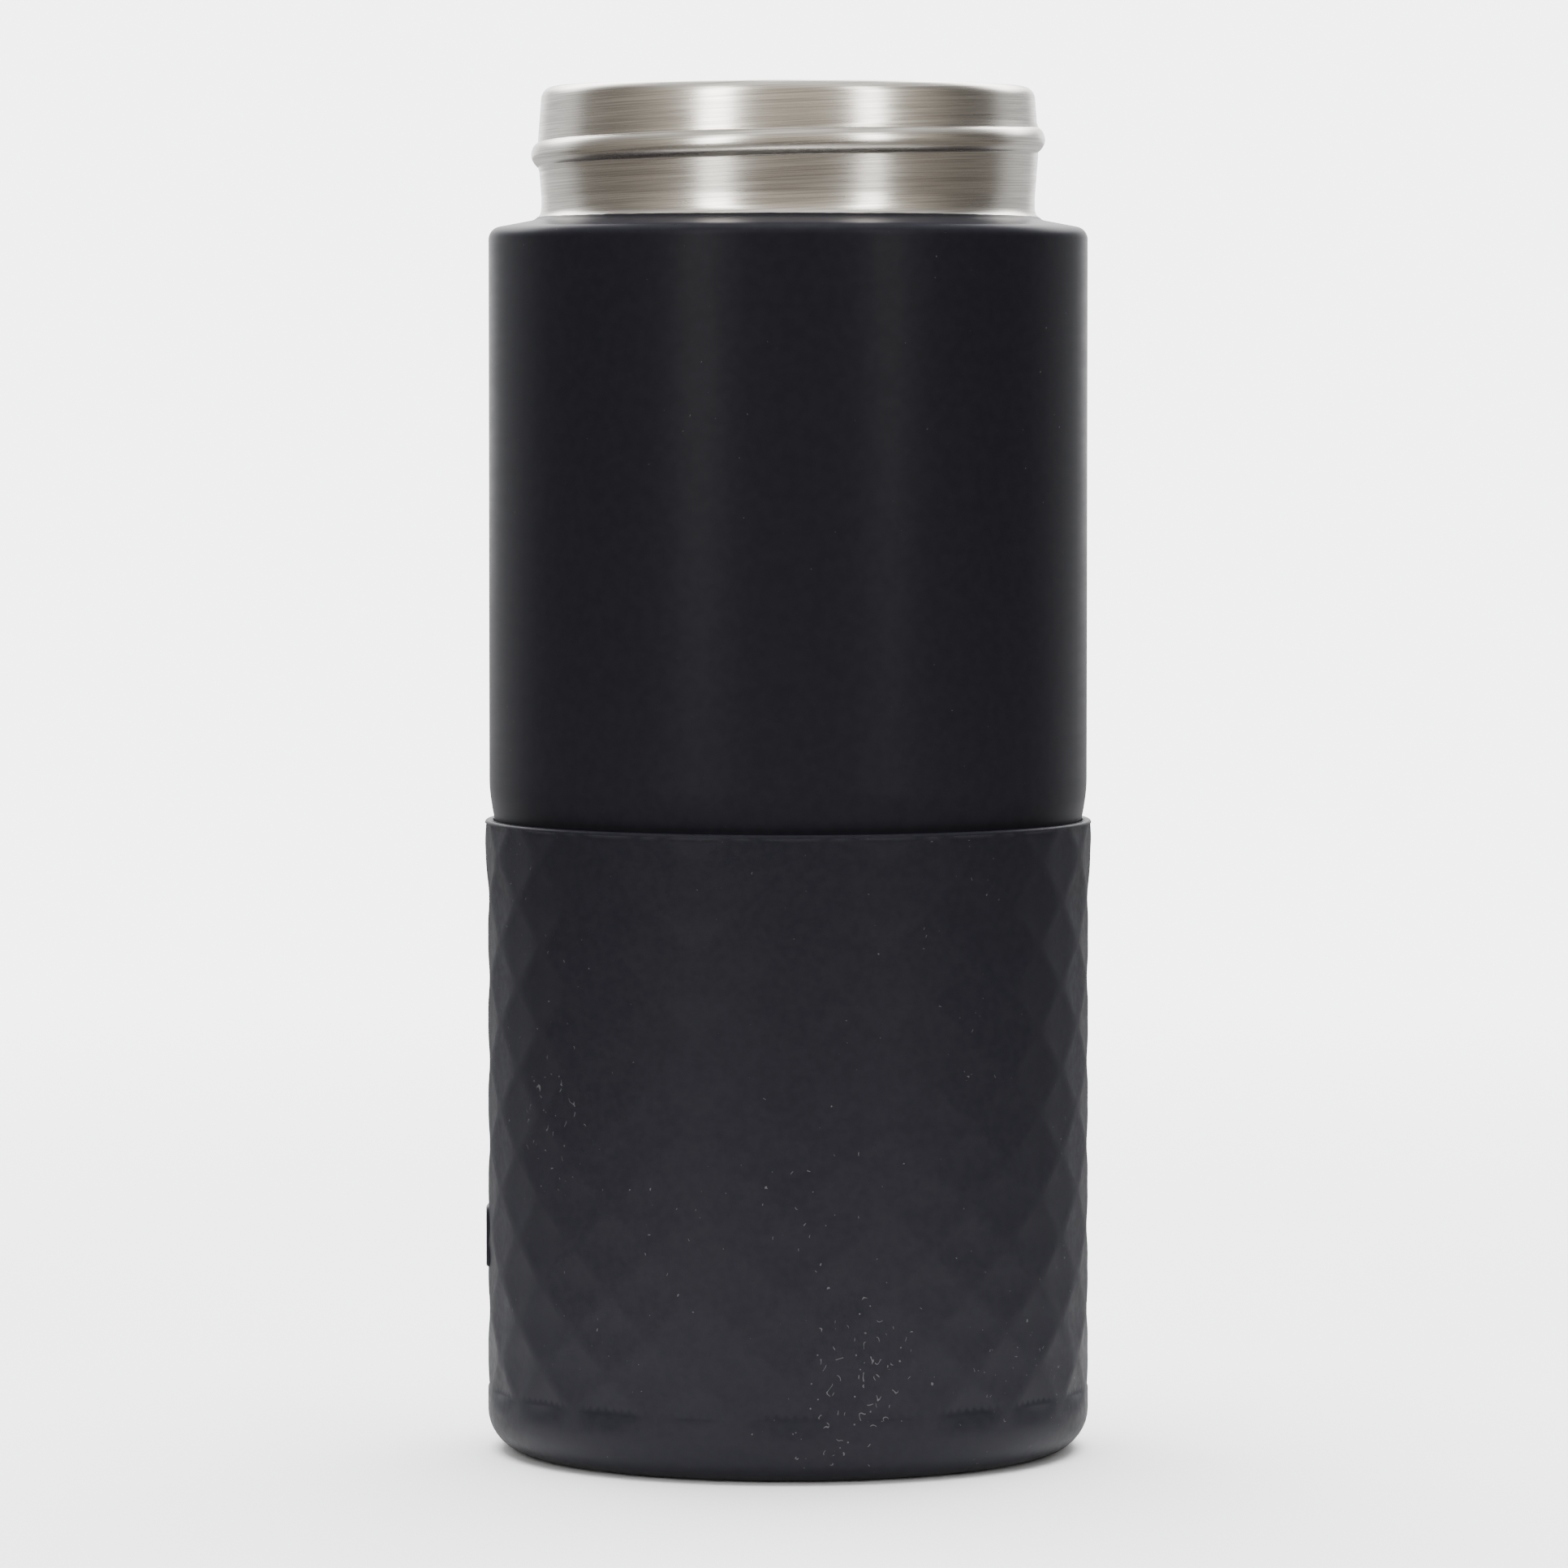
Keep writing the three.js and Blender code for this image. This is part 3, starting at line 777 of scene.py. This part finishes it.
def dust_group():
    """Specks and short curled fibres: sparse, in patches, and gathered round a few places."""
    group, tree, inputs, out = effect("dust", {"Amount": 1.0, "Gathered": 1.0}, ["Mask"])
    place = inputs["Vector"]
    squashed = tree.stretched(place, (1, 1, LINT_SQUASH))
    patchy = tree.noise(place, LINT_PATCH_SCALE)
    patches = tree.ramp(patchy, *LINT_PATCH_SPAN, *LINT_PATCH_AMOUNTS)
    for angle, level, reach in LINT_PLACES:
        middle = at_angle(BOOT_RADIUS, math.radians(angle), level * LINT_SQUASH) * METRES
        away = tree.vector_math("DISTANCE", squashed, middle)["Value"]
        near = tree.ramp(away, reach * METRES, 0.0, 0.0, LINT_GATHERED)
        patches = tree.math("ADD", patches, tree.math("MULTIPLY", near, inputs["Gathered"]))
    amount = tree.math("MULTIPLY", patches, inputs["Amount"])
    speck_size = tree.math("MINIMUM", tree.math("MULTIPLY", amount, SPECK_GROWTH), SPECK_MOST)
    speck = tree.math("LESS_THAN", tree.spots(place, SPECK_SCALE), speck_size)
    curls = tree.noise(tree.stretched(place, CURL_SQUASH, CURL_TURN), CURL_SCALE, detail=0.0)
    from_line = tree.math("ABSOLUTE", tree.math("SUBTRACT", curls, 0.5))
    line = tree.math("LESS_THAN", from_line, CURL_WIDTH)
    fibre_length = tree.math("MULTIPLY", amount, FIBRE_GROWTH)
    cut = tree.math("LESS_THAN", tree.spots(place, FIBRE_CELLS), fibre_length)
    fibre = tree.math("MULTIPLY", line, cut)
    tree.link(tree.math("MAXIMUM", speck, fibre), out.inputs["Mask"])
    return group


def grain_group():
    """Even fine grain, as on a moulded or sprayed skin."""
    group, tree, inputs, out = effect("skin_grain", {"Scale": 1.0}, ["Height", "Tone"])
    fine = tree.math("MULTIPLY", inputs["Scale"], GRAIN_FINE)
    broad = tree.math("MULTIPLY", inputs["Scale"], GRAIN_BROAD)
    tree.link(tree.noise(inputs["Vector"], fine, detail=1.0), out.inputs["Height"])
    tree.link(tree.noise(inputs["Vector"], broad, detail=3.0), out.inputs["Tone"])
    return group


def new_material(name):
    material = bpy.data.materials.new(name)
    material.use_nodes = True
    tree = Tree(material.node_tree)
    shader = material.node_tree.nodes["Principled BSDF"]
    place = tree.add("ShaderNodeTexCoord").outputs["Object"]
    return material, tree, shader, place


def use(tree, group, place, **values):
    """The outputs of a shared effect, placed in a material with its own values."""
    made = tree.add("ShaderNodeGroup", node_tree=group)
    tree.link(place, made.inputs["Vector"])
    for key, value in values.items():
        made.inputs[key].default_value = value
    return made.outputs


def plug(tree, shader, **links):
    """Links outputs to a shader's sockets, which are named with _ for each space."""
    for key, value in links.items():
        tree.link(value, shader.inputs[key.replace("_", " ")])


def bumped(tree, shader, height, strength, distance):
    values = {"Height": height, "Strength": strength, "Distance": distance}
    plug(tree, shader, Normal=tree.add("ShaderNodeBump", values).outputs[0])


def steel_material(name, brushing, colour, roughness, depth):
    material, tree, shader, place = new_material(name)
    brushed = use(tree, brushing, place)
    spread = STEEL_STREAK_ROUGHNESS
    streaks = tree.ramp(brushed["Streaks"], *NOISE_SPAN, -spread, spread)
    dark, light = [tuple(c * k for c in colour) + (1,) for k in STEEL_LINE_TONES]
    lined = tree.mix(tree.ramp(brushed["Lines"], *NOISE_SPAN), dark, light)
    rare = tree.math("GREATER_THAN", tree.noise(place, PIT_PATCHES, detail=1.0), PIT_RARITY)
    spot = tree.math("LESS_THAN", tree.spots(place, PIT_SCALE), PIT_SIZE)
    pit = tree.math("MULTIPLY", spot, rare)
    plug(
        tree, shader, Base_Color=tree.mix(pit, lined, PIT_COLOUR),
        Roughness=tree.math("ADD", streaks, roughness),
    )
    shader.inputs["Metallic"].default_value = 1.0
    shader.inputs["Anisotropic"].default_value = STEEL_ANISOTROPY
    shader.inputs["Anisotropic Rotation"].default_value = STEEL_ANISOTROPY_TURN
    bumped(tree, shader, brushed["Lines"], STEEL_LINE_BUMP, depth)
    return material


def coat_material(name, grain, brushing, dust):
    material, tree, shader, place = new_material(name)
    skin = use(tree, grain, place, Scale=COAT_GRAIN)
    lines = use(tree, brushing, place, Fineness=COAT_LINE_FINENESS, Run=COAT_LINE_RUN)
    specks = use(tree, dust, place, Amount=COAT_SPECK_AMOUNT, Gathered=0.0)["Mask"]
    base = tree.mix(tree.ramp(skin["Tone"], *NOISE_SPAN), *COAT_TONES)
    spread = COAT_STREAK_ROUGHNESS
    streaks = tree.ramp(lines["Streaks"], *NOISE_SPAN, -spread, spread)
    plug(
        tree, shader, Base_Color=tree.mix(specks, base, COAT_SPECK),
        Roughness=tree.math("ADD", streaks, COAT_ROUGHNESS),
    )
    line_height = tree.math("MULTIPLY", lines["Lines"], COAT_LINE_SHARE)
    height = tree.math("ADD", line_height, skin["Height"])
    bumped(tree, shader, height, COAT_BUMP, COAT_BUMP_DEPTH)
    shader.inputs["IOR"].default_value = COAT_IOR
    return material


def silicone_material(name, grain, dust):
    material, tree, shader, place = new_material(name)
    skin = use(tree, grain, place, Scale=1.0)
    specks = use(tree, dust, place, Amount=1.0, Gathered=1.0)["Mask"]
    base = tree.mix(tree.ramp(skin["Tone"], *NOISE_SPAN), *SILICONE_TONES)
    spread = SILICONE_TONE_ROUGHNESS
    tone = tree.ramp(skin["Tone"], *NOISE_SPAN, -spread, spread)
    plug(
        tree, shader, Base_Color=tree.mix(specks, base, SILICONE_LINT),
        Roughness=tree.math("ADD", tone, SILICONE_ROUGHNESS),
    )
    bumped(tree, shader, skin["Height"], SILICONE_BUMP, SILICONE_BUMP_DEPTH)
    shader.inputs["IOR"].default_value = SILICONE_IOR
    return material


def foil_material(name, colour):
    material, tree, shader, place = new_material(name)
    crumple = tree.noise(place, FOIL_CREASES, detail=4.0, roughness=0.65)
    shade = tuple(c * FOIL_CREASE_SHADE for c in colour[:3]) + (1,)
    plug(tree, shader, Base_Color=tree.mix(crumple, colour, shade))
    shader.inputs["Metallic"].default_value = 1.0
    shader.inputs["Roughness"].default_value = FOIL_ROUGHNESS
    bumped(tree, shader, crumple, 0.6, 0.0005)
    return material


def pellet_material(name):
    material, tree, shader, place = new_material(name)
    grains = tree.noise(place, PELLET_GRAINS, detail=4.0, roughness=0.7)
    plug(tree, shader, Base_Color=tree.mix(grains, *PELLET_TONES))
    shader.inputs["Roughness"].default_value = PELLET_ROUGHNESS
    bumped(tree, shader, grains, 0.8, 0.0001)
    return material


def glass_material(name):
    material, tree, shader, place = new_material(name)
    cloud = tree.noise(place, GLASS_CLOUDS, detail=3.0)
    plug(tree, shader, Base_Color=tree.mix(cloud, *GLASS_TONES))
    shader.inputs["Roughness"].default_value = GLASS_ROUGHNESS
    bumped(tree, shader, cloud, 0.2, 0.00005)
    return material


def floor_material(name):
    """A pale table that fades into the room. The tumbler reflects the lit table only near its
    foot, where its colour in reflections is painted light in front and painted shade at the sides.
    Farther off the table glows in reflections: dim in front as painted shadow, and bright behind
    as painted light.
    """
    material, tree, shader, place = new_material(name)
    seen = tree.add("ShaderNodeLightPath").outputs["Is Camera Ray"]
    away = tree.vector_math("LENGTH", place)["Value"]
    backwards = tree.add("ShaderNodeSeparateXYZ", {0: place}).outputs["Y"]
    depth = tree.math("DIVIDE", backwards, away)

    seen_far = tree.math("MULTIPLY", tree.ramp(away, *TABLE_SEEN_FADE), seen)
    unseen = tree.math("SUBTRACT", 1.0, seen)
    unseen_far = tree.math("MULTIPLY", tree.ramp(away, *TABLE_BOUNCE_FADE), unseen)
    far = tree.math("ADD", seen_far, unseen_far)

    mottle = tree.mix(tree.noise(place, TABLE_MOTTLE, detail=3.0), *TABLE_TONES)
    # Painted light and shade: in reflections the table near the foot is brighter in front and
    # darker at the sides.
    to_sides = tree.ramp(depth, *TABLE_FRONT_TO_SIDES)
    painted_near_reflection = tree.mix(to_sides, TABLE_NEAR_FRONT_PAINTED_LIGHT, TABLE_NEAR_SIDES_PAINTED_SHADE)
    # Painted glow: in reflections the farther table glows, dim in front as painted shadow and
    # bright behind as painted light.
    to_back = tree.ramp(depth, *TABLE_SIDES_TO_BACK)
    painted_far_glow = tree.mix(to_back, TABLE_FAR_FRONT_PAINTED_SHADOW_GLOW, TABLE_FAR_BACK_PAINTED_LIGHT_GLOW)
    plug(
        tree, shader, Base_Color=tree.mix(far, tree.mix(seen, painted_near_reflection, mottle), BLACK),
        Emission_Color=tree.mix(far, BLACK, tree.mix(seen, painted_far_glow, ROOM_SEEN)),
    )
    shader.inputs["Emission Strength"].default_value = 1.0
    shader.inputs["Roughness"].default_value = TABLE_ROUGHNESS
    shader.inputs["Specular IOR Level"].default_value = 0.0
    return material


# ---------------------------------------------------------------- studio

def camera():
    data = bpy.data.cameras.new("camera")
    data.sensor_width = SENSOR_WIDTH
    data.lens = LENS
    data.clip_end = FARTHEST_SEEN
    eye = bpy.data.objects.new("camera", data)
    eye.location = (EYE_SHIFT, -EYE_DISTANCE, EYE_HEIGHT)
    eye.rotation_euler = (math.pi / 2 - TILT, 0, 0)
    bpy.context.scene.collection.objects.link(eye)
    bpy.context.scene.camera = eye


def softbox(name, azimuth, elevation, distance, width, height, radiance):
    """An area light aimed at the object's middle. Azimuth 0 is the front and 90 the right."""
    data = bpy.data.lights.new(name, "AREA")
    data.shape = "RECTANGLE"
    data.size, data.size_y = width, height
    data.energy = radiance * math.pi * width * height
    lamp = bpy.data.objects.new(name, data)
    a, e = math.radians(azimuth), math.radians(elevation)
    aim = Vector((0, 0, cad_box[1].z / 2))
    out = Vector((math.sin(a) * math.cos(e), -math.cos(a) * math.cos(e), math.sin(e)))
    lamp.location = aim + out * distance
    lamp.rotation_euler = out.to_track_quat("Z", "Y").to_euler()
    bpy.context.scene.collection.objects.link(lamp)
    return lamp


def world():
    """A pale room, whose reflection is dim at the sides, fair in front and bright behind."""
    made = bpy.data.worlds.new("room")
    bpy.context.scene.world = made
    made.use_nodes = True
    tree = Tree(made.node_tree)
    background = made.node_tree.nodes["Background"]
    way = tree.add("ShaderNodeTexCoord").outputs["Generated"]
    parts = tree.add("ShaderNodeSeparateXYZ", {0: way}).outputs
    right = tree.ramp(parts["X"], *LEFT_TO_RIGHT)
    front = tree.ramp(parts["Y"], *SIDES_TO_FRONT)
    behind = tree.ramp(parts["Y"], *SIDES_TO_BEHIND)
    far_behind = tree.ramp(parts["Y"], *BEHIND_TO_FAR_BEHIND)
    above = tree.ramp(parts["Z"], *LEVEL_TO_ABOVE)
    high = tree.ramp(parts["Z"], *LEVEL_TO_HIGH)
    high_behind = tree.math("MULTIPLY", high, tree.ramp(parts["Y"], *SIDES_TO_HIGH_BEHIND))
    sides = tree.mix(right, ROOM_LEFT, ROOM_RIGHT)
    backs = tree.mix(right, ROOM_BEHIND_LEFT, ROOM_BEHIND_RIGHT)
    backs = tree.mix(far_behind, backs, ROOM_FAR_BEHIND)
    room = tree.mix(above, tree.mix(front, sides, ROOM_FRONT), ROOM_ABOVE)
    room = tree.mix(high_behind, tree.mix(behind, room, backs), ROOM_HIGH_BEHIND)
    seen = tree.add("ShaderNodeLightPath").outputs["Is Camera Ray"]
    plug(tree, background, Color=tree.mix(seen, room, ROOM_SEEN))


def stage_floor():
    bm = bmesh.new()
    bmesh.ops.create_circle(bm, cap_ends=True, segments=SIDES // 2, radius=TABLE_RADIUS)
    mesh = bpy.data.meshes.new("table_top")
    bm.to_mesh(mesh)
    bm.free()
    floor = bpy.data.objects.new("table_top", mesh)
    mesh.materials.append(floor_material("pale_table"))
    bpy.context.scene.collection.objects.link(floor)


# ---------------------------------------------------------------- the tumbler

camera()
world()
stage_floor()
softbox(
    "left_strip", azimuth=-33.5, elevation=21, distance=1.5, width=0.36, height=1.15, radiance=12.5
)
softbox(
    "right_strip", azimuth=38.5, elevation=21, distance=1.5, width=0.29, height=1.15, radiance=11.5
)
overhead = softbox(
    "overhead", azimuth=180, elevation=78, distance=1.2, width=1.4, height=1.3, radiance=24.0
)
overhead.visible_glossy = False

brushing, dust, grain = brushing_group(), dust_group(), grain_group()
brushed_steel = steel_material("brushed_steel", brushing, **BARE_STEEL)
plain_steel = steel_material("plain_steel", brushing, **PLAIN_STEEL)
silicone = silicone_material("silicone", grain, dust)

steel_shell(brushed_steel)
coat_skin(coat_material("black_coat", grain, brushing, dust))
liner_tube(brushed_steel)
liner_dish(brushed_steel)
base_cup(plain_steel)
cover_disc(plain_steel)
boot(silicone)
name_pad(silicone)

copper = foil_material("copper_foil", COPPER)
CAD_MATERIALS = {
    "heat_shield_foil": copper,
    "heat_shield_disc": copper,
    "getter_holder": plain_steel,
    "getter_pellet": pellet_material("sintered_metal"),
    "vacuum_seal_bead": glass_material("solder_glass"),
}
for node, material in CAD_MATERIALS.items():
    frame["nodes"][node].data.materials.clear()
    frame["nodes"][node].data.materials.append(material)
